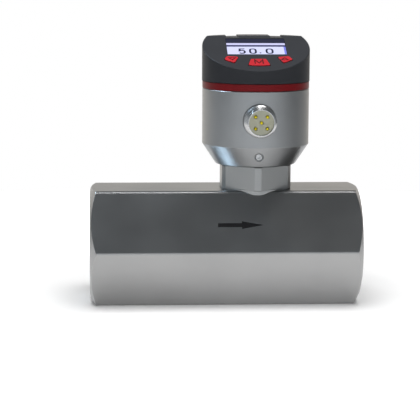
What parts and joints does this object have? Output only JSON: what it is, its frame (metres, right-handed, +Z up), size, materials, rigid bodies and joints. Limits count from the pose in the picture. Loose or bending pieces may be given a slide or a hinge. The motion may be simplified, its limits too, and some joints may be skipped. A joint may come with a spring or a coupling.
{
  "type": "turbine flow meter",
  "caption": "Inline turbine flow meter: hexagonal bar with threaded ports, helical rotor inside, and a turnable sensor head with connector, sloping display and keys.",
  "frame": {"origin": "centre of the bar's bottom flat, halfway along the bar", "axes": "+X along the flow, from the inlet port to the outlet port; +Z up towards the display; -Y is the side that the connector and the display's slope face"},
  "size_m": [0.1174, 0.0601, 0.1154],
  "materials": {
    "bar_steel": "bead-blasted steel",
    "straightener_plastic": "moulded",
    "spring_steel": "spring steel",
    "rotor_plastic": "moulded",
    "shaft_steel": "ground",
    "bearing_stone": "polished",
    "neck_steel": "turned and milled",
    "magnet": "sintered",
    "bobbin_plastic": "moulded",
    "winding_copper": "enamelled wire",
    "seal_rubber": "smooth",
    "housing_steel": "fine turned",
    "ring_red": "moulded",
    "screw_steel": "plain",
    "connector_metal": "nickel plated",
    "insert_plastic": "moulded",
    "pin_gold": "gold plated",
    "board_green": "solder mask",
    "cap_plastic": "moulded",
    "window_pane": "clear",
    "panel_glass": "liquid crystal",
    "key_red": "moulded"
  },
  "bodies": {
    "meter": {"meter_body": "bar_steel", "inlet_straightener": "straightener_plastic", "outlet_straightener": "straightener_plastic", "inlet_retaining_ring": "spring_steel", "outlet_retaining_ring": "spring_steel", "rotor_shaft": "shaft_steel", "inlet_thrust_washer": "bearing_stone", "outlet_thrust_washer": "bearing_stone", "neck_fitting": "neck_steel", "stem_retaining_ring": "spring_steel", "pickup_case": "neck_steel", "pickup_magnet": "magnet", "pickup_bobbin": "bobbin_plastic", "pickup_winding": "winding_copper", "pickup_nut": "neck_steel", "neck_seal": "seal_rubber", "stem_seal": "seal_rubber"},
    "rotor": {"turbine_rotor": "rotor_plastic", "inlet_bearing": "bearing_stone", "outlet_bearing": "bearing_stone"},
    "sensor_head": {"sensor_housing": "housing_steel", "accent_ring": "ring_red", "lock_screw": "screw_steel", "connector_shell": "connector_metal", "connector_insert": "insert_plastic", "connector_pins": "pin_gold", "connector_nut": "connector_metal", "connector_seal": "seal_rubber", "board_carrier": "bobbin_plastic", "carrier_screws": "screw_steel", "main_board": "board_green", "cap_wire_ring": "spring_steel"},
    "display_head": {"display_cap": "cap_plastic", "display_window": "window_pane", "display_panel": "panel_glass", "panel_frame": "bobbin_plastic", "display_board": "board_green", "display_board_screws": "screw_steel", "key_switches": "bobbin_plastic", "cap_seal": "seal_rubber"},
    "down_key": {"down_key": "key_red"},
    "menu_key": {"menu_key": "key_red"},
    "up_key": {"up_key": "key_red"}
  },
  "joints": [
    {"name": "rotor_spin", "type": "hinge", "parent": "meter", "child": "rotor", "pos_m": [0.0135, 0, 0.025], "axis": [1, 0, 0], "continuous": true},
    {"name": "housing_turn", "type": "hinge", "parent": "meter", "child": "sensor_head", "pos_m": [0.0135, 0, 0.06], "axis": [0, 0, 1], "range_deg": [-160, 160]},
    {"name": "display_turn", "type": "hinge", "parent": "sensor_head", "child": "display_head", "pos_m": [0.0135, 0, 0.0967], "axis": [0, 0, 1], "range_deg": [-165, 165]},
    {"name": "down_press", "type": "slide", "parent": "display_head", "child": "down_key", "axis": [0, 0.3633, -0.9317], "range_m": [0, 0.0005], "stiffness_N_per_m": 1000, "springref_m": -0.0003},
    {"name": "menu_press", "type": "slide", "parent": "display_head", "child": "menu_key", "axis": [0, 0.3633, -0.9317], "range_m": [0, 0.0005], "stiffness_N_per_m": 1000, "springref_m": -0.0003},
    {"name": "up_press", "type": "slide", "parent": "display_head", "child": "up_key", "axis": [0, 0.3633, -0.9317], "range_m": [0, 0.0005], "stiffness_N_per_m": 1000, "springref_m": -0.0003}
  ]
}
